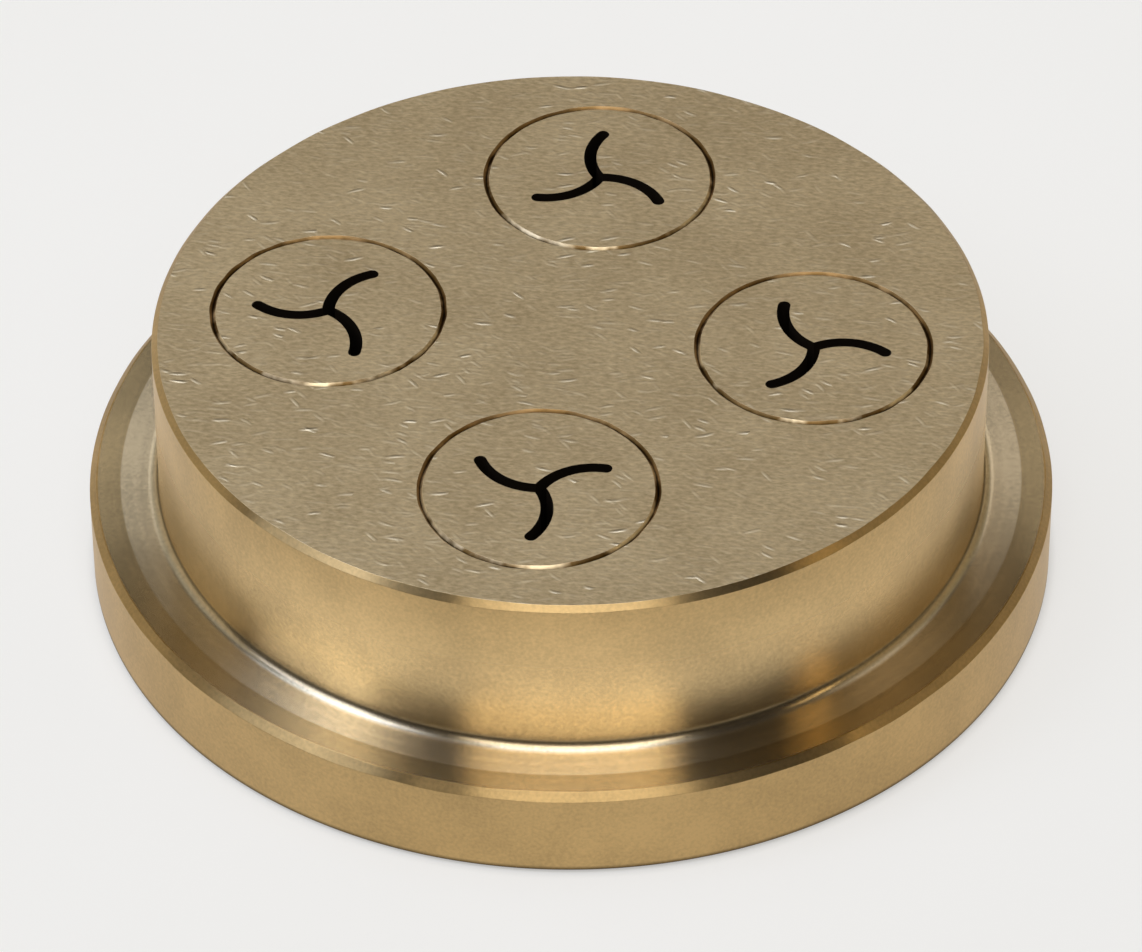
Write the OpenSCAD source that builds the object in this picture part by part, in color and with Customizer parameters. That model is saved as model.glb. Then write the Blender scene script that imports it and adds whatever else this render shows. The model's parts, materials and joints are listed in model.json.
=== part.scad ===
// Pasta extrusion die with four inserts for three-armed twisted pasta, in millimetres.
// The back face lies on z = 0 and the extrusion face looks up along +Z.

/* [Body] */
// Height from the back face to the extrusion face
die_h = 17; // [14:0.5:30]
// Metal between an insert and the side of the boss
boss_rim = 3.5; // [2:0.1:10]
// Width of the clamping ledge around the boss
ledge_w = 4.25; // [1.5:0.05:12]
// Thickness of the clamping flange
flange_h = 6.1; // [3:0.1:10]
// Radius of the fillet between the boss and the ledge
root_r = 0.7; // [0.2:0.1:3]
// Bevel on the front edge of the boss
boss_bevel = 0.36; // [0.1:0.02:1]
// Bevel on the front edge of the flange
ledge_bevel = 0.44; // [0.1:0.02:1]
// Bevel on the back edge of the flange
back_bevel = 0.26; // [0.1:0.02:1]

/* [Inserts] */
// Diameter of the circle through the insert centres
insert_pcd = 29.5; // [26:0.5:50]
// Diameter of an insert on the extrusion face
insert_d = 14; // [11:0.1:16]
// Turn of each insert from an arm that points outwards: right, back, left, front
insert_turn = [0, 4, 0, 1]; // [-60:1:60]
// Depth of an insert's back end below the back face
insert_recess = 0.25; // [0.1:0.05:2]
// How far the collar stands out from the insert
collar_w = 1.25; // [0.6:0.05:1.8]
// Height of the collar
collar_h = 5; // [2:0.1:8]
// Bevel on the edges of the collar
collar_bevel = 0.3; // [0.1:0.05:0.5]
// Bevel on both sides of the seam round an insert
seam_bevel = 0.17; // [0.05:0.01:0.4]
// Bevel at the back of a pocket, where the insert goes in
pocket_lead = 0.5; // [0.1:0.05:1]
// Radial clearance between an insert and its pocket
fit_gap = 0.02; // [0.005:0.005:0.1]

/* [Slots] */
// Width of a slot arm
slot_w = 0.75; // [0.4:0.05:1.5]
// Distance from the insert's centre to the centre of an arm's round end
slot_reach = 4.3; // [2.5:0.1:5.2]
// Radius of an arm's bend
slot_bend_r = 3.72; // [2.5:0.02:12]
// Slot depth between the extrusion face and the feed holes
land_h = 3; // [1:0.1:5]

/* [Feed] */
// Wall between the feed cup and the outside of the insert
cup_wall = 1.75; // [1.2:0.05:3]
// Width of the bevel at the mouth of the feed cup
cup_lead = 1; // [0.2:0.1:1.5]
// Diameter of a feed hole
feed_d = 3.2; // [1:0.1:4]
// Distance from the insert's centre to a feed hole
feed_r = 2.6; // [1.5:0.1:3.5]
// Depth of the feed holes behind the land
feed_h = 3; // [1:0.1:5]

/* [Hidden] */
$fn = 96;

body_colour = "#c2a06a";
insert_colour = "#cbab78";

arms = 3;
pockets = len(insert_turn);
insert_r = insert_d / 2;
collar_r = insert_r + collar_w;
cup_r = insert_r - cup_wall;
boss_r = insert_pcd / 2 + insert_r + boss_rim;
flange_r = boss_r + ledge_w;
root_fit_r = min(root_r, ledge_w - ledge_bevel, die_h - flange_h - boss_bevel);
seat_z = insert_recess + collar_h;
cup_top = die_h - land_h - feed_h;
arm_half = asin(slot_reach / (2 * slot_bend_r));
// Cutting tools run this far past the faces that they open
cut_over = 0.5;

// Half section of the body before its pockets are bored, with radius along x and height along y
module body_section() {
    polygon([
        [0, 0],
        [flange_r - back_bevel, 0],
        [flange_r, back_bevel],
        [flange_r, flange_h - ledge_bevel],
        [flange_r - ledge_bevel, flange_h],
        [boss_r, flange_h],
        [boss_r, die_h - boss_bevel],
        [boss_r - boss_bevel, die_h],
        [0, die_h]
    ]);
    difference() {
        translate([boss_r - root_fit_r, flange_h - root_fit_r])
            square(2 * root_fit_r);
        translate([boss_r + root_fit_r, flange_h + root_fit_r])
            circle(root_fit_r);
    }
}

// Stepped bore for one insert, bevelled where the insert goes in and at the seam on the face
module pocket() {
    bore_r = insert_r + fit_gap;
    seat_r = collar_r + fit_gap;
    rotate_extrude()
        polygon([
            [0, -cut_over],
            [seat_r + pocket_lead + cut_over, -cut_over],
            [seat_r, pocket_lead],
            [seat_r, seat_z],
            [bore_r, seat_z],
            [bore_r, die_h - seam_bevel],
            [bore_r + seam_bevel + cut_over, die_h + cut_over],
            [0, die_h + cut_over]
        ]);
}

// Puts its child on the pitch circle, at the pocket with the given number
module at_pocket(number) {
    rotate(number * 360 / pockets)
        translate([insert_pcd / 2, 0, 0])
            children();
}

// Turned plug: collar at the back, shank with a bevelled front edge
module plug() {
    rotate_extrude()
        polygon([
            [0, insert_recess],
            [collar_r - collar_bevel, insert_recess],
            [collar_r, insert_recess + collar_bevel],
            [collar_r, seat_z - collar_bevel],
            [collar_r - collar_bevel, seat_z],
            [insert_r, seat_z],
            [insert_r, die_h - seam_bevel],
            [insert_r - seam_bevel, die_h],
            [0, die_h]
        ]);
}

// Feed cup, open at the back through a bevelled mouth
module feed_cup() {
    mouth_z = insert_recess - cut_over;
    rotate_extrude()
        polygon([
            [0, mouth_z],
            [cup_r + cup_lead + cut_over, mouth_z],
            [cup_r, insert_recess + cup_lead],
            [cup_r, cup_top],
            [0, cup_top]
        ]);
}

// One arm of the slot: an arc from the insert's axis to a round end on the x axis
module slot_arm() {
    cut_h = land_h + feed_h + 2 * cut_over;
    translate([slot_reach / 2, -slot_bend_r * cos(arm_half), cup_top - cut_over])
        rotate(90 - arm_half)
            rotate_extrude(angle = 2 * arm_half)
                translate([slot_bend_r - slot_w / 2, 0])
                    square([slot_w, cut_h]);
    translate([slot_reach, 0, cup_top - cut_over])
        cylinder(h = cut_h, d = slot_w);
}

// Feed hole on the arm's centre line, from the cup to the land
module feed_hole() {
    rotate(arm_half - asin(feed_r / (2 * slot_bend_r)))
        translate([feed_r, 0, cup_top - cut_over])
            cylinder(h = feed_h + cut_over, d = feed_d);
}

module die_body() {
    color(body_colour)
        difference() {
            rotate_extrude()
                body_section();
            for (number = [0 : pockets - 1])
                at_pocket(number)
                    pocket();
        }
}

module insert(number) {
    color(insert_colour)
        at_pocket(number)
            rotate(insert_turn[number])
                difference() {
                    plug();
                    feed_cup();
                    for (arm = [0 : arms - 1])
                        rotate(arm * 360 / arms) {
                            slot_arm();
                            feed_hole();
                        }
                }
}

die_body();
insert(0);  // insert_right
insert(1);  // insert_back
insert(2);  // insert_left
insert(3);  // insert_front
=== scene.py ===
import json
import math
import bmesh
import bpy
import numpy as np
from mathutils import Matrix, Vector


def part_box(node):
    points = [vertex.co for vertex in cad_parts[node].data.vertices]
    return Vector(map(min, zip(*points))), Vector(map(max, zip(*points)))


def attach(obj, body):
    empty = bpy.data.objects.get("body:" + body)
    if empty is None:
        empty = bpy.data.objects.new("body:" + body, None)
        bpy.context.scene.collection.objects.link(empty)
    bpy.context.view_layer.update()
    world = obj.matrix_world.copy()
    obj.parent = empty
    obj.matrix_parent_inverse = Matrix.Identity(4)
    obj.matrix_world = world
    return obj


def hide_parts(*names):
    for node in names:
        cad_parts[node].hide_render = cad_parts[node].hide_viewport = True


# Pasta extrusion die: a turned brass body with four pressed-in inserts, lying on its back face.
# Lengths in the dictionaries are in mm unless a note says otherwise.

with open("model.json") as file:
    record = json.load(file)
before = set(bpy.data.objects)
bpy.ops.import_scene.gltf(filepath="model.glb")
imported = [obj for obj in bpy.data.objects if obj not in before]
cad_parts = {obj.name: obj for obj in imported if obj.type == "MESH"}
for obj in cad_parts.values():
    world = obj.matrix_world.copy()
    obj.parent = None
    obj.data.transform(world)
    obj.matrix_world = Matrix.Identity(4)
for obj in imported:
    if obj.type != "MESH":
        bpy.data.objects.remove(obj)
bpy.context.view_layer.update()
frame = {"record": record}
scene = bpy.context.scene
scene.view_settings.view_transform = "Standard"
mm = 0.001
mounts = {mount["name"]: mount for mount in frame["record"]["mounts"]}
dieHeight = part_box("die_body")[1].z / mm
print("frame loaded")


# Camera and studio

camera = {
    "azimuth": 7.324,      # degrees, to the right of the front
    "elevation": 40.929,
    "roll": -0.336,
    "distance": 422.3,
    "aimHeight": 5.241,
    "lens": 216.742,
    "sensor": 36,
    "nearest": 10,         # what lies nearer or farther is cut off
    "farthest": 20000,
}

# Softboxes and sheets about the die: degrees to the right of the camera, distance from the axis and
# height of the middle in mm, lean in degrees from upright to lying level, width and length in mm, how
# bright the panel itself is, where 1 is white, and its tint
studio = {
    "frontBox": (0, 420, 660, 0, 478, 600, 2.5, "#fffcf6"),
    "overBox": (0, 182, 700, 90, 392, 196, 1.4, "#fffcf6"),
    "topBox": (0, -256, 632, 42.6, 104, 1050, 1.9, "#e4eeff"),
    "leftBox": (-73, 450, 700, 0, 285, 820, 2.5, "#dfe9ff"),
    "leftTop": (-115, 256, 520, 88, 350, 140, 2.2, "#e6efff"),
    "rightStrip": (69, 500, 450, 0, 44, 300, 2.4, "#ffe3aa"),
    "rightTop": (122, 420, 600, 54, 330, 180, 0.55, "#fff0d8"),
    "rightSheet": (107, 700, 400, 0, 1110, 800, 0.24, "#ffe9b8"),
    "backRight": (160, 700, 480, 0, 310, 330, 0.95, "#fff2de"),
    "leftSheet": (-119, 700, 400, 0, 700, 800, 0.38, "#fff6de"),
    "backLeft": (-160, 700, 480, 0, 310, 330, 0.95, "#fff8ea"),
}

room = {
    "world": "#2b2a29",
    "floor": "#f9f8f5",
    "floorMark": "#fcfbf9",   # marks of the roller
    "markSize": 40,
    "roughness": 0.8,
    "specular": 0.2,
    "floorSize": 6000,
    "floorDrop": 0.03,        # keeps the table clear of the back face
    "glow": 0.7,              # share of plain white where the eye or the metal sees the table
    "glowFrom": 28,           # distance from the axis: no glow under the die, so the slots stay dark
    # the glow fades in just past the rim, so a thin dimmer band at the die's foot is a painted contact
    # shadow
    "glowFull": 30,
}


# Unit vector towards a place given as degrees to the right of the camera and degrees above the floor:
# cosines and sines of the two angles
def towards(azimuth, elevation):
    a = math.radians(camera["azimuth"] + azimuth)
    e = math.radians(elevation)
    return Vector((math.sin(a) * math.cos(e), -math.cos(a) * math.cos(e), math.sin(e)))


# sRGB hex to linear red, green, blue and alpha
def linear(code):
    parts = [int(code[i:i + 2], 16) / 255 for i in (1, 3, 5)]
    return [p / 12.92 if p <= 0.04045 else ((p + 0.055) / 1.055) ** 2.4 for p in parts] + [1.0]


# Adds a node, sets its properties, and links each wired input or gives it a plain value
def addNode(tree, kind, wires=None, **settings):
    node = tree.nodes.new(kind)
    for name, value in settings.items():
        setattr(node, name, value)
    for socket, value in (wires or {}).items():
        if isinstance(value, bpy.types.NodeSocket):
            tree.links.new(value, node.inputs[socket])
        else:
            node.inputs[socket].default_value = value
    return node


# An empty material and its node tree
def newMaterial(name):
    material = bpy.data.materials.new(name)
    material.use_nodes = True
    material.node_tree.nodes.clear()
    return material, material.node_tree


# The camera looks at a point on the axis; the level direction, turned by the roll, is its own x
def addCamera():
    lens = bpy.data.cameras.new("photo_camera")
    lens.lens = camera["lens"]
    lens.sensor_width = camera["sensor"]
    lens.clip_start = camera["nearest"] * mm
    lens.clip_end = camera["farthest"] * mm
    back = towards(0, camera["elevation"])
    level = Vector((0, 0, 1)).cross(back).normalized()
    rise = back.cross(level)
    roll = math.radians(camera["roll"])
    across = math.cos(roll) * level + math.sin(roll) * rise
    upward = back.cross(across)
    place = Vector((0, 0, camera["aimHeight"] * mm)) + back * camera["distance"] * mm
    turn = Matrix((across, upward, back)).transposed().to_4x4()
    holder = bpy.data.objects.new("photo_camera", lens)
    holder.matrix_world = Matrix.Translation(place) @ turn
    scene.collection.objects.link(holder)
    scene.camera = holder


# The power that makes a flat panel as bright as asked is brightness times pi times its area
def addLights():
    for name, (azimuth, reach, height, lean, width, length, bright, tint) in studio.items():
        lamp = bpy.data.lights.new(name, "AREA")
        lamp.shape = "RECTANGLE"
        lamp.size = width * mm
        lamp.size_y = length * mm
        lamp.color = linear(tint)[:3]
        lamp.energy = bright * math.pi * lamp.size * lamp.size_y
        holder = bpy.data.objects.new(name, lamp)
        holder.location = (towards(azimuth, 0) * reach + Vector((0, 0, height))) * mm
        holder.rotation_euler = towards(azimuth, lean).to_track_quat("Z", "Y").to_euler()
        holder.visible_camera = False
        scene.collection.objects.link(holder)


# Matt painted table top: white with a hint of mottling from the roller, and the die's shadow on it.
# Rays from the eye and from metal or glass see it lifted towards plain white.
def paintedTable():
    material, tree = newMaterial("matt_white_paint")
    place = addNode(tree, "ShaderNodeTexCoord").outputs["Object"]
    mark = addNode(tree, "ShaderNodeTexNoise", {
        "Vector": place, "Scale": 1 / (room["markSize"] * mm), "Detail": 3,
    })
    tone = addNode(tree, "ShaderNodeMix", {
        "Factor": mark.outputs["Fac"], "A": linear(room["floor"]), "B": linear(room["floorMark"]),
    }, data_type="RGBA")
    paint = addNode(tree, "ShaderNodeBsdfPrincipled", {
        "Base Color": tone.outputs["Result"], "Roughness": room["roughness"],
        "Specular IOR Level": room["specular"],
    })
    white = addNode(tree, "ShaderNodeEmission", {"Color": tone.outputs["Result"], "Strength": 1.0})
    ray = addNode(tree, "ShaderNodeLightPath").outputs
    direct = addNode(tree, "ShaderNodeMath", {
        0: ray["Is Camera Ray"], 1: ray["Is Glossy Ray"],
    }, operation="MAXIMUM").outputs[0]
    seen = addNode(tree, "ShaderNodeMath", {
        0: direct, 1: ray["Is Transmission Ray"],
    }, operation="MAXIMUM").outputs[0]
    away = addNode(tree, "ShaderNodeVectorMath", {0: place}, operation="LENGTH").outputs["Value"]
    glow = addNode(tree, "ShaderNodeMapRange", {
        0: away, 1: room["glowFrom"] * mm, 2: room["glowFull"] * mm, 4: room["glow"],
    }).outputs[0]
    share = addNode(tree, "ShaderNodeMath", {0: seen, 1: glow}, operation="MULTIPLY").outputs[0]
    table = addNode(tree, "ShaderNodeMixShader", {0: share, 1: paint.outputs[0], 2: white.outputs[0]})
    addNode(tree, "ShaderNodeOutputMaterial", {"Surface": table.outputs[0]})
    return material


# A square table top just under the die, and a dim grey world
def addRoom():
    half = room["floorSize"] / 2 * mm
    corners = np.array([[-1, -1], [1, -1], [1, 1], [-1, 1]]) * half
    points = np.column_stack([corners, np.full(4, -room["floorDrop"] * mm)])
    mesh = bpy.data.meshes.new("table_top")
    mesh.from_pydata(points.tolist(), [], [[0, 1, 2, 3]])
    mesh.materials.append(paintedTable())
    floor = bpy.data.objects.new("table_top", mesh)
    scene.collection.objects.link(floor)
    world = bpy.data.worlds.new("dim_studio")
    world.use_nodes = True
    world.node_tree.nodes["Background"].inputs["Color"].default_value = linear(room["world"])
    scene.world = world


addCamera()
addLights()
addRoom()
print("camera, lights and table ready")


# Sizes of the body, and of the seams and pockets that it shares with the inserts

seam = {
    "pitchR": 14.75,
    "insertR": 7.0,
    "gap": 0.02,
    "bevel": 0.17,
    "seatZ": 5.25,
    "uneven": 0.16,        # share by which the bevels vary round a seam
    "waves": (4, 26),      # fewest and most waves of that
    "soft": 0.03,          # radius that wear has given the edges
    "guard": 0.02,         # stretch beside a rounded edge that shades flat
    "arcSteps": 5,
}

body = {
    "flangeR": mounts["flange_rim"]["dims"]["r_mm"],
    "bossR": mounts["boss"]["dims"]["r_mm"],
    "ledgeZ": mounts["clamp_ledge"]["pos_m"][2] / mm,
    "wallFoot": mounts["boss"]["pos_m"][2] / mm - mounts["boss"]["dims"]["length_mm"] / 2,
    "ledgeLineR": 27.6,    # where the facing tool was lifted
    "ledgeDish": 0.03,     # depth of the ledge at that line, below the root and the outer edge
    "bossBevel": 0.36,
    "ledgeBevel": 0.44,
    "backBevel": 0.26,
    "softEdge": 0.07,      # radius that handling has given the edges
    "guard": 0.01,
    "arcSteps": 10,
    "uneven": 0.08,        # share by which the bevels vary round the die
    "waves": (3, 40),
    "frontSeed": 3,
    "ledgeSeed": 5,
    "lipSeed": 11,
    "seatR": 8.27,
    "seatLead": 0.5,
    "columns": 384,
    "spokeSteps": 24,
    "shares": (0, 0.01, 0.25, 0.5, 0.75, 0.99, 1),   # rows of a flat quarter, from its hole to its border
}

faceMargin = 1.6           # flat faces end this many bevels from an edge, clear of the widest bevel


# Brass finishes

face = {
    "ground": "#f3deb5",      # rubbed ground of the face
    "dull": "#cdb68d",        # duller grain
    "glint": "#fdeccb",       # fresh metal in a scratch, painted paler as a glint
    "roughness": 0.55,
    "glintRoughness": 0.4,
    "grainLength": 0.5,       # drawn some three times coarser than emery paper leaves it, so that it shows
    "grainWidth": 0.22,
    "grainBump": 0.35,
    "grainDepth": 0.01,
    "cloud": 6.0,             # size of the duller clouds
    "cloudShare": 0.45,       # weight of the clouds beside the grain
    "dullBelow": 0.5,         # grain and clouds together, from all dull to all ground
    "groundAbove": 0.95,
    "sweep": 5.0,             # size of the places where scratches crowd
    "sparseBelow": 0.35,      # noise between the sparse places and the crowded ones
    "crowdAbove": 0.65,
    "sparse": 0.35,           # share of a scratch that is left in a sparse place
    "lean": 1.4,              # half widths by which a scratch may lean over its half length
    "bow": 0.4,               # half widths by which it may bow
    "steep": 0.8,             # slope of a scratch's flanks
}

# Layers of scratches: lie in degrees, spacing along and across, half length and half width in mm, the
# share of the cells that stay empty, and how deep the deepest is. The widths are about three times the
# real ones, so that they show.
scratchLayers = [
    (8, 1.6, 0.5, 0.6, 0.17, 0.15, 0.38),
    (1, 2.6, 0.46, 0.95, 0.15, 0.3, 0.42),
    (-28, 1.5, 0.5, 0.5, 0.16, 0.3, 0.36),
    (8, 2.6, 0.85, 0.65, 0.17, 0.6, 1.5),
    (-4, 1.9, 0.75, 0.45, 0.17, 0.6, 1.5),
    (-30, 2.2, 0.95, 0.55, 0.16, 0.6, 1.4),
]

turned = {
    "handledShade": "#d2b078",     # bevels, rim and upper wall: a handling tone, painted darker as shade
    "foot": "#f6d69e",        # foot of the wall, painted lighter: a painted reflection of the bright ledge
    "root": "#e6dac2",        # root and inner ledge, painted paler: a painted highlight
    "outerLedge": "#d4c29e",
    "rootFrom": 0.1,          # share of the way from the wall to the rim where the root's tone is reached
    "lineFade": 0.01,         # half width of the change of tone at the tool's line, as such a share
    "footTop": 9.0,           # heights between which the painted lighter foot fades into the painted darker upper wall
    "shadedFrom": 18.0,
    "bevelFade": (0.08, 0.04),   # distance inside the ledge's bevel, where the painted darker tone ends
    "ledgeFade": (0.2, 0.1),     # and below the ledge
    "roughness": 0.24,
    "handledRoughness": 0.33,
    "anisotropy": 0.96,
    "acrossLines": 0.25,      # quarter turn: reflections are drawn out across the tool's lines
    "feed": 0.12,             # between the tool's lines
    "lineBump": 0.2,
    "lineDepth": 0.004,
    "cloud": 5.0,             # size of the duller clouds
    "mottle": 0.22,           # satin haze
    "rings": 0.5,             # bands that the facing cut leaves
    "ringShare": 0.5,         # weight of the bands beside clouds and haze
    "shade": 0.77,            # brightness where the three together are dullest
    "shadeBelow": 0.95,
    "clearAbove": 1.5,
    "contactShade": 0.15,            # brightness of the lowest edge: a painted contact shadow where it stands on the table
    "contactShadeTop": 0.55,
    "rootShade": 0.4,              # brightness of the painted shade line where the root runs into the wall
    "rootShadeZ": 0.4,             # above the ledge
    "rootShadeCore": 0.03,         # half widths of the line, full painted shade and none
    "rootShadeEdge": 0.17,
}

# Darkening of the seam's bevels towards the bottom: tarnish, and painted shade that stands in for a deeper
# groove
tarnishAndShade = {
    "spot": 0.6,              # size of the spots of the dark tone
    "spotLift": 0.16,         # by which they shift its edge up and down the bevel
    "rub": 2.5,               # size of the places that are rubbed bare, and painted brighter as glints
    "rubBelow": 0.44,         # noise between the dark tone and bare metal
    "bareAbove": 0.58,
    "bareLift": 0.06,         # by which the dark tone lies lower in a bare place
    "bottom": 0.1,            # below the face, all dark tone
    "top": 0.07,              # past the face, all metal where no spot shifts it
}

# Tones of the seam's bevels; the dark bottom is tarnish and painted shade
lipGroove = {"edge": "#947448", "wornGlint": "#a5855a", "bottom": "#3d2b10", "roughness": 0.4}
# the insert's rubbed places are painted bright: painted glints
insertGroove = {"edge": "#8e7047", "wornGlint": "#fbe6be", "bottom": "#44320f", "roughness": 0.4}
bored = {"colour": "#b08d55", "shade": "#8d6c3c", "metallic": 1.0, "roughness": 0.4}
# Slot walls near black: painted shade deep in the narrow slots
slotWall = {"colour": "#2a1d0c", "shade": "#120b04", "metallic": 0.6, "roughness": 0.75}
stains = {"size": 1.5, "bump": 0.3, "depth": 0.02}


# Short dashes, one to a cell of a stretched cell pattern. Along and across are the distances from the
# cell's own point in half lengths and half widths; the dash leans and bows by its cell's random colour,
# and fades as one less the square of each distance. Its flanks tilt the surface by the distance across.
def scratchLayer(tree, place, layer):
    degrees, along, across, halfLength, halfWidth, empty, deepest = layer
    lie = math.radians(degrees)
    cells = addNode(tree, "ShaderNodeMapping", {
        "Vector": place, "Rotation": (0, 0, lie), "Scale": (along, across, 1),
    }, vector_type="TEXTURE").outputs[0]
    cell = addNode(tree, "ShaderNodeTexVoronoi", {"Vector": cells, "Scale": 1}, voronoi_dimensions="2D")
    off = addNode(tree, "ShaderNodeVectorMath", {
        0: cells, 1: cell.outputs["Position"],
    }, operation="SUBTRACT").outputs[0]
    near = addNode(tree, "ShaderNodeVectorMath", {
        0: off, 1: (along / halfLength, across / halfWidth, 0),
    }, operation="MULTIPLY").outputs[0]
    part = addNode(tree, "ShaderNodeSeparateXYZ", {0: near}).outputs
    chance = addNode(tree, "ShaderNodeSeparateColor", {0: cell.outputs["Color"]}).outputs
    lean = addNode(tree, "ShaderNodeMath", {
        0: chance[1], 1: 2 * face["lean"], 2: -face["lean"],
    }, operation="MULTIPLY_ADD").outputs[0]
    bow = addNode(tree, "ShaderNodeMath", {
        0: chance[2], 1: 2 * face["bow"], 2: -face["bow"],
    }, operation="MULTIPLY_ADD").outputs[0]
    square = addNode(tree, "ShaderNodeMath", {0: part[0], 1: part[0]}, operation="MULTIPLY").outputs[0]
    leaning = addNode(tree, "ShaderNodeMath", {
        0: lean, 1: part[0], 2: part[1],
    }, operation="MULTIPLY_ADD").outputs[0]
    bowed = addNode(tree, "ShaderNodeMath", {
        0: bow, 1: square, 2: leaning,
    }, operation="MULTIPLY_ADD").outputs[0]
    sides = addNode(tree, "ShaderNodeMath", {0: bowed, 1: bowed}, operation="MULTIPLY").outputs[0]
    flanks = addNode(tree, "ShaderNodeMath", {
        0: 1.0, 1: sides,
    }, operation="SUBTRACT", use_clamp=True).outputs[0]
    ends = addNode(tree, "ShaderNodeMath", {
        0: 1.0, 1: square,
    }, operation="SUBTRACT", use_clamp=True).outputs[0]
    dash = addNode(tree, "ShaderNodeMath", {0: flanks, 1: ends}, operation="MULTIPLY").outputs[0]
    depth = addNode(tree, "ShaderNodeMapRange", {0: chance[0], 1: empty, 2: 1.0}).outputs[0]
    rare = addNode(tree, "ShaderNodeMath", {0: depth, 1: depth}, operation="MULTIPLY").outputs[0]
    deep = addNode(tree, "ShaderNodeMath", {0: rare, 1: deepest}, operation="MULTIPLY").outputs[0]
    shown = addNode(tree, "ShaderNodeMath", {0: dash, 1: deep}, operation="MULTIPLY").outputs[0]
    slope = addNode(tree, "ShaderNodeMath", {0: shown, 1: bowed}, operation="MULTIPLY").outputs[0]
    tilt = addNode(tree, "ShaderNodeVectorMath", {
        0: (-math.sin(lie) * face["steep"], math.cos(lie) * face["steep"], 0), 3: slope,
    }, operation="SCALE").outputs[0]
    return shown, tilt


# Brass face rubbed flat on emery paper with its inserts in place: a satin ground with fine grain,
# crossed by short scratches that run over the seams and catch the light where they lie across it; the
# scratches are also painted paler, as painted glints
def rubbedBrass():
    material, tree = newMaterial("rubbed_brass")
    metres = addNode(tree, "ShaderNodeTexCoord").outputs["Object"]
    place = addNode(tree, "ShaderNodeVectorMath", {0: metres, 3: 1 / mm}, operation="SCALE").outputs[0]
    dashes, tilt = scratchLayer(tree, place, scratchLayers[0])
    for layer in scratchLayers[1:]:
        shown, lean = scratchLayer(tree, place, layer)
        dashes = addNode(tree, "ShaderNodeMath", {0: dashes, 1: shown}, operation="MAXIMUM").outputs[0]
        tilt = addNode(tree, "ShaderNodeVectorMath", {0: tilt, 1: lean}, operation="ADD").outputs[0]
    swept = addNode(tree, "ShaderNodeTexNoise", {"Vector": place, "Scale": 1 / face["sweep"], "Detail": 2})
    crowd = addNode(tree, "ShaderNodeMapRange", {
        0: swept.outputs["Fac"], 1: face["sparseBelow"], 2: face["crowdAbove"], 3: face["sparse"], 4: 1.0,
    }).outputs[0]
    glints = addNode(tree, "ShaderNodeMath", {
        0: dashes, 1: crowd,
    }, operation="MULTIPLY", use_clamp=True).outputs[0]
    crowdTilt = addNode(tree, "ShaderNodeVectorMath", {0: tilt, 3: crowd}, operation="SCALE").outputs[0]
    level = addNode(tree, "ShaderNodeNewGeometry").outputs["Normal"]
    leaning = addNode(tree, "ShaderNodeVectorMath", {0: level, 1: crowdTilt}, operation="ADD").outputs[0]
    scratched = addNode(tree, "ShaderNodeVectorMath", {0: leaning}, operation="NORMALIZE").outputs[0]
    stretched = addNode(tree, "ShaderNodeMapping", {
        "Vector": place, "Scale": (face["grainLength"], face["grainWidth"], 1),
    }, vector_type="TEXTURE").outputs[0]
    grain = addNode(tree, "ShaderNodeTexNoise", {
        "Vector": stretched, "Scale": 1, "Detail": 2, "Roughness": 0.6,
    }).outputs["Fac"]
    cloud = addNode(tree, "ShaderNodeTexNoise", {"Vector": place, "Scale": 1 / face["cloud"], "Detail": 3})
    mixed = addNode(tree, "ShaderNodeMath", {
        0: cloud.outputs["Fac"], 1: face["cloudShare"], 2: grain,
    }, operation="MULTIPLY_ADD").outputs[0]
    bright = addNode(tree, "ShaderNodeMapRange", {
        0: mixed, 1: face["dullBelow"], 2: face["groundAbove"],
    }).outputs[0]
    ground = addNode(tree, "ShaderNodeMix", {
        "Factor": bright, "A": linear(face["dull"]), "B": linear(face["ground"]),
    }, data_type="RGBA")
    # Scratches are painted paler, towards the glint tone: painted glints
    tone = addNode(tree, "ShaderNodeMix", {
        "Factor": glints, "A": ground.outputs["Result"], "B": linear(face["glint"]),
    }, data_type="RGBA")
    rough = addNode(tree, "ShaderNodeMapRange", {0: glints, 3: face["roughness"], 4: face["glintRoughness"]})
    bump = addNode(tree, "ShaderNodeBump", {
        "Height": grain, "Strength": face["grainBump"], "Distance": face["grainDepth"] * mm,
        "Normal": scratched,
    })
    brass = addNode(tree, "ShaderNodeBsdfPrincipled", {
        "Base Color": tone.outputs["Result"], "Metallic": 1.0, "Roughness": rough.outputs[0],
        "Normal": bump.outputs[0],
    })
    addNode(tree, "ShaderNodeOutputMaterial", {"Surface": brass.outputs[0]})
    return material


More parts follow.
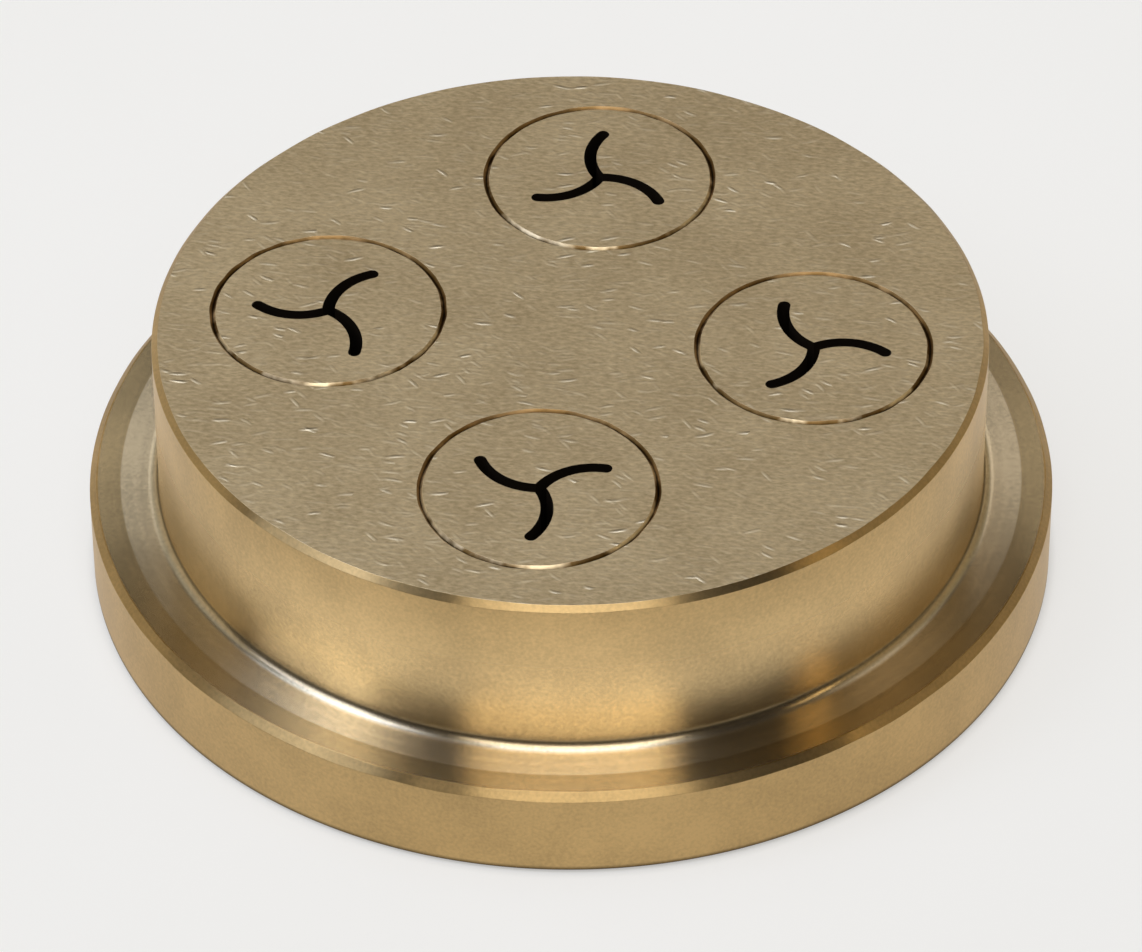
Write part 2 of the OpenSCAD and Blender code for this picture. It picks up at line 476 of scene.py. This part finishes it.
# Bevels of the seam round an insert: tarnish and polishing dirt with painted shade, darkest in the bottom,
# with an edge that comes and goes and places that are rubbed bare and painted brighter as glints
def tarnishedShadedGroove(name, groove):
    material, tree = newMaterial(name)
    metres = addNode(tree, "ShaderNodeTexCoord").outputs["Object"]
    place = addNode(tree, "ShaderNodeVectorMath", {0: metres, 3: 1 / mm}, operation="SCALE").outputs[0]
    height = addNode(tree, "ShaderNodeSeparateXYZ", {0: place}).outputs[2]
    spots = addNode(tree, "ShaderNodeTexNoise", {"Vector": place, "Scale": 1 / tarnishAndShade["spot"], "Detail": 3})
    rub = addNode(tree, "ShaderNodeTexNoise", {"Vector": place, "Scale": 1 / tarnishAndShade["rub"], "Detail": 3})
    bareGlint = addNode(tree, "ShaderNodeMapRange", {
        0: rub.outputs["Fac"], 1: tarnishAndShade["rubBelow"], 2: tarnishAndShade["bareAbove"],
    }).outputs[0]
    shifted = addNode(tree, "ShaderNodeMath", {
        0: spots.outputs["Fac"], 1: tarnishAndShade["spotLift"], 2: height,
    }, operation="MULTIPLY_ADD").outputs[0]
    lifted = addNode(tree, "ShaderNodeMath", {
        0: bareGlint, 1: tarnishAndShade["bareLift"], 2: shifted,
    }, operation="MULTIPLY_ADD").outputs[0]
    clearOfTarnishAndShade = addNode(tree, "ShaderNodeMapRange", {
        0: lifted, 1: dieHeight - tarnishAndShade["bottom"], 2: dieHeight + tarnishAndShade["top"],
    }).outputs[0]
    edge = addNode(tree, "ShaderNodeMix", {
        "Factor": bareGlint, "A": linear(groove["edge"]), "B": linear(groove["wornGlint"]),
    }, data_type="RGBA")
    tone = addNode(tree, "ShaderNodeMix", {
        "Factor": clearOfTarnishAndShade, "A": linear(groove["bottom"]), "B": edge.outputs["Result"],
    }, data_type="RGBA")
    brass = addNode(tree, "ShaderNodeBsdfPrincipled", {
        "Base Color": tone.outputs["Result"], "Metallic": 1.0, "Roughness": groove["roughness"],
    })
    addNode(tree, "ShaderNodeOutputMaterial", {"Surface": brass.outputs[0]})
    return material


# Brass as the lathe leaves it: warm and bright, with reflections drawn out across the fine tool lines.
# Bevels, rim and upper wall are toned by handling and painted darker as shade; the lower wall, root and
# inner ledge are painted lighter. The lowest edge holds a painted contact shadow, and the foot of the wall
# a line of painted shade.
def turnedBrass():
    material, tree = newMaterial("turned_brass")
    metres = addNode(tree, "ShaderNodeTexCoord").outputs["Object"]
    place = addNode(tree, "ShaderNodeVectorMath", {0: metres, 3: 1 / mm}, operation="SCALE").outputs[0]
    flat = addNode(tree, "ShaderNodeVectorMath", {0: place, 1: (1, 1, 0)}, operation="MULTIPLY").outputs[0]
    radius = addNode(tree, "ShaderNodeVectorMath", {0: flat}, operation="LENGTH").outputs["Value"]
    height = addNode(tree, "ShaderNodeSeparateXYZ", {0: place}).outputs[2]

    # Where the tool's own finish is left, with lighter painted tones: inside the ledge's bevel and under the
    # upper wall
    edgeR = body["flangeR"] - body["ledgeBevel"]
    inside = addNode(tree, "ShaderNodeMapRange", {
        0: radius, 1: edgeR - turned["bevelFade"][0], 2: edgeR - turned["bevelFade"][1], 3: 1, 4: 0,
    }).outputs[0]
    onLedge = addNode(tree, "ShaderNodeMapRange", {
        0: height, 1: body["ledgeZ"] - turned["ledgeFade"][0], 2: body["ledgeZ"] - turned["ledgeFade"][1],
        4: inside,
    }).outputs[0]
    lowWall = addNode(tree, "ShaderNodeMapRange", {
        0: height, 1: turned["footTop"], 2: turned["shadedFrom"], 3: 1, 4: 0,
    }).outputs[0]
    freshAndLit = addNode(tree, "ShaderNodeMath", {0: onLedge, 1: lowWall}, operation="MULTIPLY").outputs[0]

    # Tones from the wall out over the ledge: the painted lighter foot, the painted highlight on the root and
    # inner ledge, then the outer ledge
    outward = addNode(tree, "ShaderNodeMapRange", {0: radius, 1: body["bossR"], 2: body["flangeR"]})
    bands = addNode(tree, "ShaderNodeValToRGB", {0: outward.outputs[0]})
    line = (body["ledgeLineR"] - body["bossR"]) / (body["flangeR"] - body["bossR"])
    stops = bands.color_ramp.elements
    stops[0].color = linear(turned["foot"])
    stops[1].color = linear(turned["outerLedge"])
    stops.new(turned["rootFrom"]).color = linear(turned["root"])
    stops.new(line - turned["lineFade"]).color = linear(turned["root"])
    stops.new(line + turned["lineFade"]).color = linear(turned["outerLedge"])
    toned = addNode(tree, "ShaderNodeMix", {
        "Factor": freshAndLit, "A": linear(turned["handledShade"]), "B": bands.outputs[0],
    }, data_type="RGBA")

    # Clouds, haze and rings dull it
    cloud = addNode(tree, "ShaderNodeTexNoise", {
        "Vector": place, "Scale": 1 / turned["cloud"], "Detail": 4,
    })
    mottle = addNode(tree, "ShaderNodeTexNoise", {
        "Vector": place, "Scale": 1 / turned["mottle"], "Detail": 3,
    })
    rings = addNode(tree, "ShaderNodeTexNoise", {
        "W": radius, "Scale": 1 / turned["rings"], "Detail": 2,
    }, noise_dimensions="1D")
    haze = addNode(tree, "ShaderNodeMath", {
        0: cloud.outputs["Fac"], 1: mottle.outputs["Fac"],
    }, operation="ADD").outputs[0]
    banded = addNode(tree, "ShaderNodeMath", {
        0: rings.outputs["Fac"], 1: turned["ringShare"], 2: haze,
    }, operation="MULTIPLY_ADD").outputs[0]
    shade = addNode(tree, "ShaderNodeMapRange", {
        0: banded, 1: turned["shadeBelow"], 2: turned["clearAbove"], 3: turned["shade"],
    }).outputs[0]
    dulled = addNode(tree, "ShaderNodeMix", {
        "Factor": 1.0, "A": toned.outputs["Result"], "B": shade,
    }, data_type="RGBA", blend_type="MULTIPLY")

    # Painted shade: a contact shadow on the lowest edge and a dark line in the root
    contactShade = addNode(tree, "ShaderNodeMapRange", {
        0: height, 1: body["backBevel"], 2: turned["contactShadeTop"], 3: turned["contactShade"], 4: 1.0,
    }).outputs[0]
    aboveRootShade = addNode(tree, "ShaderNodeMath", {
        0: height, 1: body["ledgeZ"] + turned["rootShadeZ"],
    }, operation="SUBTRACT").outputs[0]
    offRootShade = addNode(tree, "ShaderNodeMath", {0: aboveRootShade}, operation="ABSOLUTE").outputs[0]
    rootShade = addNode(tree, "ShaderNodeMapRange", {
        0: offRootShade, 1: turned["rootShadeCore"], 2: turned["rootShadeEdge"], 3: turned["rootShade"], 4: contactShade,
    }).outputs[0]
    tone = addNode(tree, "ShaderNodeMix", {
        "Factor": 1.0, "A": dulled.outputs["Result"], "B": rootShade,
    }, data_type="RGBA", blend_type="MULTIPLY")

    rough = addNode(tree, "ShaderNodeMapRange", {
        0: freshAndLit, 3: turned["handledRoughness"], 4: turned["roughness"],
    })
    section = addNode(tree, "ShaderNodeCombineXYZ", {0: radius, 1: height})
    lines = addNode(tree, "ShaderNodeTexNoise", {
        "Vector": section.outputs[0], "Scale": 1 / turned["feed"], "Detail": 1,
    }, noise_dimensions="2D")
    bump = addNode(tree, "ShaderNodeBump", {
        "Height": lines.outputs["Fac"], "Strength": turned["lineBump"], "Distance": turned["lineDepth"] * mm,
    })
    grain = addNode(tree, "ShaderNodeTangent", direction_type="UV_MAP", uv_map="turning")
    brass = addNode(tree, "ShaderNodeBsdfPrincipled", {
        "Base Color": tone.outputs["Result"], "Metallic": 1.0, "Roughness": rough.outputs[0],
        "Anisotropic": turned["anisotropy"], "Anisotropic Rotation": turned["acrossLines"],
        "Normal": bump.outputs[0], "Tangent": grain.outputs[0],
    })
    addNode(tree, "ShaderNodeOutputMaterial", {"Surface": brass.outputs[0]})
    return material


# Brass bored with a drill or a boring bar, dulled by use: darker, stained, with a soft shine. The slot walls
# take it near black, as painted shade deep in the narrow slots.
def dullBrass(name, finish):
    material, tree = newMaterial(name)
    metres = addNode(tree, "ShaderNodeTexCoord").outputs["Object"]
    stain = addNode(tree, "ShaderNodeTexNoise", {
        "Vector": metres, "Scale": 1 / (stains["size"] * mm), "Detail": 4,
    }).outputs["Fac"]
    tone = addNode(tree, "ShaderNodeMix", {
        "Factor": stain, "A": linear(finish["shade"]), "B": linear(finish["colour"]),
    }, data_type="RGBA")
    bump = addNode(tree, "ShaderNodeBump", {
        "Height": stain, "Strength": stains["bump"], "Distance": stains["depth"] * mm,
    })
    brass = addNode(tree, "ShaderNodeBsdfPrincipled", {
        "Base Color": tone.outputs["Result"], "Metallic": finish["metallic"],
        "Roughness": finish["roughness"], "Normal": bump.outputs[0],
    })
    addNode(tree, "ShaderNodeOutputMaterial", {"Surface": brass.outputs[0]})
    return material


finishes = [
    turnedBrass(),
    rubbedBrass(),
    dullBrass("bored_brass", bored),
    dullBrass("shaded_slot_wall", slotWall),
    tarnishedShadedGroove("tarnished_shaded_lip", lipGroove),
    tarnishedShadedGroove("tarnished_shaded_bevel", insertGroove),
]
turnedFinish, rubbedFinish, boredFinish, slotFinish, lipFinish, grooveFinish = range(len(finishes))
print("brass finishes ready")


# Surfaces

joining = {
    "merge": 1e-8,         # metres, points that round to the same place are one
    "level": 0.9,          # upward part of a face's normal from which it counts as level
    "faceDepth": 0.05,     # how far below the extrusion face a level face still belongs to it
    "sharp": 32,           # degrees between two faces from which their edge stays sharp
}


# Points round a corner of an outline: an arc whose ends lie radius / tan(half the corner's angle) from
# the corner, swept between its first and last radius, with a guard point outside each end that keeps
# the straight parts straight in the shading. Corners are (number, 2, columns), so that an outline may
# differ round the axis.
def softOutline(corners, radii, guard, steps):
    radii = np.asarray(radii, float)[:, None, None]
    here = corners[1:-1]
    toFirst = corners[:-2] - here
    toLast = corners[2:] - here
    toFirst = toFirst / np.linalg.norm(toFirst, axis=1, keepdims=True)
    toLast = toLast / np.linalg.norm(toLast, axis=1, keepdims=True)
    half = np.arccos((toFirst * toLast).sum(axis=1, keepdims=True)) / 2
    reach = radii / np.tan(half)
    middle = toFirst + toLast
    centre = here + middle / np.linalg.norm(middle, axis=1, keepdims=True) * radii / np.sin(half)
    first = (here + toFirst * reach - centre)[:, None]
    last = (here + toLast * reach - centre)[:, None]
    turn = (np.pi - 2 * half)[:, None]
    t = np.linspace(0, 1, steps + 1)[None, :, None, None]
    arcs = centre[:, None] + (np.sin((1 - t) * turn) * first + np.sin(t * turn) * last) / np.sin(turn)
    before = (here + toFirst * (reach + guard))[:, None]
    after = (here + toLast * (reach + guard))[:, None]
    inner = np.concatenate([before, arcs, after], axis=1).reshape(-1, 2, corners.shape[2])
    return np.concatenate([corners[:1], inner, corners[-1:]])


# A grid of points as quads, with each quad's place on the turning map; a round grid closes on its first
# column
def patch(points, finish, closed, around=None, length=None):
    rows, columns = points.shape[:2]
    steps = columns if closed else columns - 1
    row, column = np.meshgrid(np.arange(rows - 1), np.arange(steps), indexing="ij")
    following = (column + 1) % columns
    quads = np.stack([
        row * columns + column,
        row * columns + following,
        (row + 1) * columns + following,
        (row + 1) * columns + column,
    ], axis=-1)
    around = np.linspace(0, 1, columns + 1) if around is None else around
    length = np.linspace(0, 1, rows) if length is None else length
    u = np.stack([around[column], around[column + 1], around[column + 1], around[column]], axis=-1)
    v = np.stack([length[row], length[row], length[row + 1], length[row + 1]], axis=-1)
    uvs = np.stack([u, v], axis=-1)
    return points.reshape(-1, 3), quads.reshape(-1, 4), uvs.reshape(-1, 4, 2), finish


# Surface of revolution: radius times cosine and sine of the angle, and the height. Its map runs once
# round in the first direction and along the outline in the second.
def revolve(outline, angles, finish):
    radius, height = outline[:, 0], outline[:, 1]
    points = np.stack([radius * np.cos(angles), radius * np.sin(angles), height + 0 * angles], axis=-1)
    length = np.concatenate([[0], np.cumsum(np.linalg.norm(np.diff(outline[:, :, 0], axis=0), axis=1))])
    around = np.linspace(0, 1, outline.shape[2] + 1)
    return patch(points, finish, True, around, length)


# Sum of a dozen sine waves of whole counts round the axis, between about -1 and 1
def wobble(angles, seed, waves):
    dozen = 12
    usualPeak = 5
    chance = np.random.default_rng(seed)
    counts = chance.integers(*waves, dozen)
    phases = chance.uniform(0, 2 * np.pi, dozen)
    return np.sin(np.multiply.outer(angles, counts) + phases).sum(axis=-1) / usualPeak


# Turns points about the die's axis by a number of quarter turns
def quarterTurn(points, number):
    c, s = [(1, 0), (0, 1), (-1, 0), (0, -1)][number]
    x, y, z = points[..., 0], points[..., 1], points[..., 2]
    return np.stack([x * c - y * s, x * s + y * c, z], axis=-1)


# Carries a patch from the middle out to a pocket's own axis
def aboutPocket(made, number):
    points, quads, uvs, finish = made
    return quarterTurn(points + [seam["pitchR"], 0, 0], number), quads, uvs, finish


# Joins patches into one closed mesh: equal points become one, quads that lose a corner become
# triangles, and what lies level at the height of the face gets the rubbed finish
def joinPatches(name, node, patches):
    starts = np.cumsum([0] + [len(p[0]) for p in patches])
    points = np.concatenate([p[0] for p in patches]) * mm
    quads = np.concatenate([p[1] + start for p, start in zip(patches, starts)])
    uvs = np.concatenate([p[2] for p in patches])
    finish = np.concatenate([np.full(len(p[1]), p[3]) for p in patches])
    places = np.round(points / joining["merge"]).astype(np.int64)
    kept, same = np.unique(places, axis=0, return_index=True, return_inverse=True)[1:]
    corners = same.reshape(-1)[quads]
    stays = corners != np.roll(corners, -1, axis=1)
    sound = stays.sum(axis=1) >= 3
    stays = stays[sound]
    counts = stays.sum(axis=1)
    loopStarts = np.concatenate([[0], np.cumsum(counts)[:-1]])
    mesh = bpy.data.meshes.new(name)
    mesh.vertices.add(len(kept))
    mesh.vertices.foreach_set("co", points[kept].ravel())
    mesh.loops.add(int(counts.sum()))
    mesh.loops.foreach_set("vertex_index", corners[sound][stays].astype(np.int32))
    mesh.polygons.add(len(counts))
    mesh.polygons.foreach_set("loop_start", loopStarts.astype(np.int32))
    mesh.polygons.foreach_set("material_index", finish[sound].astype(np.int32))
    mesh.uv_layers.new(name="turning")
    mesh.uv_layers["turning"].uv.foreach_set("vector", uvs[sound][stays].ravel())
    mesh.update(calc_edges=True)
    work = bmesh.new()
    work.from_mesh(mesh)
    bmesh.ops.recalc_face_normals(work, faces=work.faces)
    work.to_mesh(mesh)
    work.free()
    normals = np.empty(len(mesh.polygons) * 3)
    centres = np.empty(len(mesh.polygons) * 3)
    slots = np.empty(len(mesh.polygons), np.int32)
    mesh.polygons.foreach_get("normal", normals)
    mesh.polygons.foreach_get("center", centres)
    mesh.polygons.foreach_get("material_index", slots)
    level = normals[2::3] > joining["level"]
    high = centres[2::3] > (dieHeight - joining["faceDepth"]) * mm
    slots = np.where(level & high, rubbedFinish, slots)
    mesh.polygons.foreach_set("material_index", slots.astype(np.int32))
    mesh.shade_smooth()
    mesh.set_sharp_from_angle(angle=math.radians(joining["sharp"]))
    for material in finishes:
        mesh.materials.append(material)
    piece = bpy.data.objects.new(name, mesh)
    scene.collection.objects.link(piece)
    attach(piece, "root")
    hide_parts(node)


# A flat quarter of the body with a round hole: straight lines run from the hole to the quarter's
# border, which is an arc of the rim and two spokes, at shares that crowd towards both ends
def holedQuarter(rimR, holeR, height, number, finish):
    arc = np.linspace(-np.pi / 4, np.pi / 4, body["columns"] // 4 + 1)
    spoke = np.linspace(1, 0, body["spokeSteps"] + 1)[1:]
    inward = np.column_stack([spoke, spoke]) * math.sqrt(0.5) * rimR
    outward = inward[::-1][1:] * [1, -1]
    border = np.concatenate([np.column_stack([np.cos(arc), np.sin(arc)]) * rimR, inward, outward])
    angles = np.arctan2(border[:, 1], border[:, 0] - seam["pitchR"])
    hole = np.column_stack([seam["pitchR"] + holeR * np.cos(angles), holeR * np.sin(angles)])
    share = np.array(body["shares"])[:, None, None]
    flat = hole + share * (border - hole)
    points = np.concatenate([flat, np.full(flat.shape[:2] + (1,), height)], axis=-1)
    return patch(quarterTurn(points, number), finish, True), angles


# The body's outside is one outline turned about the axis; its two flat faces are four quarters each,
# round the stepped pockets, which are outlines turned about their own axes
def addBody():
    columns = body["columns"]
    angles = -np.pi / 4 + np.arange(columns) * 2 * np.pi / columns
    frontUneven = body["uneven"] * wobble(angles, body["frontSeed"], body["waves"])
    ledgeUneven = body["uneven"] * wobble(angles, body["ledgeSeed"], body["waves"])
    frontBevel = body["bossBevel"] * (1 + frontUneven)
    ledgeBevel = body["ledgeBevel"] * (1 + ledgeUneven)
    even = np.ones(columns)
    faceRim = body["bossR"] - faceMargin * body["bossBevel"]
    backRim = body["flangeR"] - faceMargin * body["backBevel"]
    corners = np.array([
        [faceRim * even, dieHeight * even],
        [body["bossR"] - frontBevel, dieHeight * even],
        [body["bossR"] * even, dieHeight - frontBevel],
        [body["bossR"] * even, (body["ledgeZ"] + body["ledgeDish"]) * even],
        [body["ledgeLineR"] * even, (body["ledgeZ"] - body["ledgeDish"]) * even],
        [body["flangeR"] - ledgeBevel, body["ledgeZ"] * even],
        [body["flangeR"] * even, body["ledgeZ"] - ledgeBevel],
        [body["flangeR"] * even, body["backBevel"] * even],
        [(body["flangeR"] - body["backBevel"]) * even, 0 * even],
        [backRim * even, 0 * even],
    ])
    edge = body["softEdge"]
    root = body["wallFoot"] - body["ledgeZ"]
    radii = [edge, edge, root, edge, edge, edge, edge, edge]
    outside = softOutline(corners, radii, body["guard"], body["arcSteps"])
    patches = [revolve(outside, angles, turnedFinish)]
    boreR = seam["insertR"] + seam["gap"]
    holeR = boreR + faceMargin * seam["bevel"]
    backHoleR = body["seatR"] + body["seatLead"]
    for number in range(4):
        front, frontAngles = holedQuarter(faceRim, holeR, dieHeight, number, rubbedFinish)
        back, backAngles = holedQuarter(backRim, backHoleR, 0, number, turnedFinish)
        lipUneven = seam["uneven"] * wobble(frontAngles, body["lipSeed"] + number, seam["waves"])
        bevel = seam["bevel"] * (1 + lipUneven)
        even = np.ones(len(frontAngles))
        lip = softOutline(np.array([
            [holeR * even, dieHeight * even],
            [boreR + bevel, dieHeight * even],
            [boreR * even, dieHeight - bevel],
            [boreR * even, seam["seatZ"] * even],
        ]), [seam["soft"], seam["soft"]], seam["guard"], seam["arcSteps"])
        step = np.array([
            [body["seatR"] * even, seam["seatZ"] * even],
            [body["seatR"] * even, body["seatLead"] * even],
            [backHoleR * even, 0 * even],
        ])
        ring = np.stack([
            np.stack([boreR * np.cos(frontAngles), boreR * np.sin(frontAngles)], axis=-1),
            np.stack([body["seatR"] * np.cos(backAngles), body["seatR"] * np.sin(backAngles)], axis=-1),
        ])
        seat = np.concatenate([ring, np.full(ring.shape[:2] + (1,), seam["seatZ"])], axis=-1)
        patches += [front, back]
        patches.append(aboutPocket(revolve(lip, frontAngles, lipFinish), number))
        patches.append(aboutPocket(revolve(step, backAngles, boredFinish), number))
        patches.append(aboutPocket(patch(seat, boredFinish, True), number))
    joinPatches("turned_body", "die_body", patches)


insert = {
    "turns": {"insert_right": (0, 0), "insert_back": (1, 4), "insert_left": (2, 0), "insert_front": (3, 1)},
    "recess": 0.25,
    "collarR": 8.25,
    "collarBevel": 0.3,
    "cupR": 5.25,
    "cupLead": 1.0,
    "cupTop": 11.0,
    "landZ": 14.0,
    "slotHalf": 0.375,
    "slotEdge": 0.01,      # wear on the edges of the slot
    "reach": 4.3,
    "bendR": 3.72,
    "feedR": 1.6,
    "feedPitch": 2.6,
    "seed": 31,
    "columns": 40,         # to a third of the way round
    "armRows": 40,
    "rimRows": 5,
    "samples": 2000,       # in the search for the inner corner of two arms
}
armHalf = math.asin(insert["reach"] / (2 * insert["bendR"]))
armLean = armHalf - math.pi / 2   # from the insert's axis to the middle of the arm's bend
third = 2 * np.pi / 3


# Angle of a triangle between the sides r and side, by the law of cosines, with the third side opposite
def cornerAngle(r, side, opposite):
    return np.arccos(np.clip((r * r + side * side - opposite * opposite) / (2 * r * side), -1, 1))


# Directions of the two edges of an arm at a distance r from the insert's axis. Each edge is a circle
# about the middle of the bend, so its direction is the lean plus the angle of the triangle with sides
# r, the bend's radius and the circle's radius; past the tangent points the round end's circle gives the
# angle instead.
def armEdges(r, half):
    bend, reach = insert["bendR"], insert["reach"]
    tip = cornerAngle(r, reach, half)
    lowerEnd = math.hypot(reach - half * math.sin(armHalf), half * math.cos(armHalf))
    upperEnd = math.hypot(reach + half * math.sin(armHalf), half * math.cos(armHalf))
    lower = np.where(r < lowerEnd, armLean + cornerAngle(r, bend, bend - half), -tip)
    upper = np.where(r < upperEnd, armLean + cornerAngle(r, bend, bend + half), tip)
    return lower, upper


# Distances from the axis that run from the inner corner of two arms, where their edges are a third of a
# turn apart, out to the tip, crowding towards the tip as a sine does
def armDistances(half):
    r = np.linspace(half, 3 * half, insert["samples"])
    lower, upper = armEdges(r, half)
    start = np.interp(0, lower + third - upper, r)
    return start + (insert["reach"] + half - start) * np.sin(np.linspace(0, np.pi / 2, insert["armRows"]))


# Edges of the arm with its feed hole: at each distance the wider of the slot and the hole, which is a
# circle about a point of the arm's centre line
def feedEdges(r, half):
    lower, upper = armEdges(r, half)
    middle = armLean + math.acos(insert["feedPitch"] / (2 * insert["bendR"]))
    spread = cornerAngle(r, insert["feedPitch"], insert["feedR"])
    return np.minimum(lower, middle - spread), np.maximum(upper, middle + spread)


# Closed outline of the three arms: out along the upper edge, back along the lower one
def slotOutline(r, lower, upper, height):
    distance = np.concatenate([r, r[::-1][1:-1]])
    turn = np.concatenate([upper, lower[::-1][1:-1]])
    around = (turn[::-1][None, :] + np.arange(3)[:, None] * third).ravel()
    distance = np.tile(distance[::-1], 3)
    x, y = distance * np.cos(around), distance * np.sin(around)
    return np.column_stack([x, y, np.full(len(around), height)])


# Flat field between two arms: rows at the arm's distances and on to the rim, columns that share the
# angle between the upper edge of one arm and the lower edge of the next
def slotFields(r, lower, upper, rimR, height, finish):
    onward = np.linspace(r[-1], rimR, insert["rimRows"] + 1)[1:]
    distance = np.concatenate([r, onward])[:, None]
    first = np.concatenate([upper, 0 * onward])[:, None]
    last = np.concatenate([lower, 0 * onward])[:, None] + third
    share = np.linspace(0, 1, insert["columns"] + 1)
    fields = []
    for arm in range(3):
        turn = first + (last - first) * share + arm * third
        flat = np.stack([distance * np.cos(turn), distance * np.sin(turn), height + 0 * turn], axis=-1)
        fields.append(patch(flat, finish, False))
    return fields


# An insert is one outline turned about its axis, from the face round the collar into the feed cup; flat
# fields close the face and the cup's floor round the slot, whose walls run down to the feed holes
def addInsert(node, number, turn, seed):
    columns = 3 * insert["columns"]
    angles = np.arange(columns) * 2 * np.pi / columns
    even = np.ones(columns)
    bevel = seam["bevel"] * (1 + seam["uneven"] * wobble(angles, seed, seam["waves"]))
    faceR = seam["insertR"]
    rimR = faceR - faceMargin * seam["bevel"]
    back, collar, cut = insert["recess"], insert["collarR"], insert["collarBevel"]
    shank = softOutline(np.array([
        [rimR * even, dieHeight * even],
        [faceR - bevel, dieHeight * even],
        [faceR * even, dieHeight - bevel],
        [faceR * even, seam["seatZ"] * even],
    ]), [seam["soft"], seam["soft"]], seam["guard"], seam["arcSteps"])
    rear = np.array([
        [faceR * even, seam["seatZ"] * even],
        [(collar - cut) * even, seam["seatZ"] * even],
        [collar * even, (seam["seatZ"] - cut) * even],
        [collar * even, (back + cut) * even],
        [(collar - cut) * even, back * even],
        [(insert["cupR"] + insert["cupLead"]) * even, back * even],
        [insert["cupR"] * even, (back + insert["cupLead"]) * even],
        [insert["cupR"] * even, insert["cupTop"] * even],
    ])
    half, edge = insert["slotHalf"], insert["slotEdge"]
    r = armDistances(half)
    wornR = armDistances(half + edge)
    slot = armEdges(r, half)
    wornSlot = armEdges(wornR, half + edge)
    feed = feedEdges(r, half)
    walls = np.stack([
        slotOutline(wornR, *wornSlot, dieHeight),
        slotOutline(r, *slot, dieHeight - edge),
        slotOutline(r, *slot, insert["landZ"]),
        slotOutline(r, *feed, insert["landZ"]),
        slotOutline(r, *feed, insert["cupTop"]),
    ])
    patches = [revolve(shank, angles, grooveFinish), revolve(rear, angles, turnedFinish)]
    patches += slotFields(wornR, *wornSlot, rimR, dieHeight, rubbedFinish)
    patches += slotFields(r, *feed, insert["cupR"], insert["cupTop"], boredFinish)
    patches.append(patch(walls, slotFinish, True))
    spin = math.radians(turn)
    c, s = math.cos(spin), math.sin(spin)
    turning = np.array([[c, s, 0], [-s, c, 0], [0, 0, 1]])
    placed = [aboutPocket((made[0] @ turning, *made[1:]), number) for made in patches]
    joinPatches(node.replace("insert", "slotted_insert"), node, placed)


addBody()
print("turned body ready")
for count, (node, (number, turn)) in enumerate(insert["turns"].items()):
    addInsert(node, number, turn, insert["seed"] + count)
print("inserts ready")
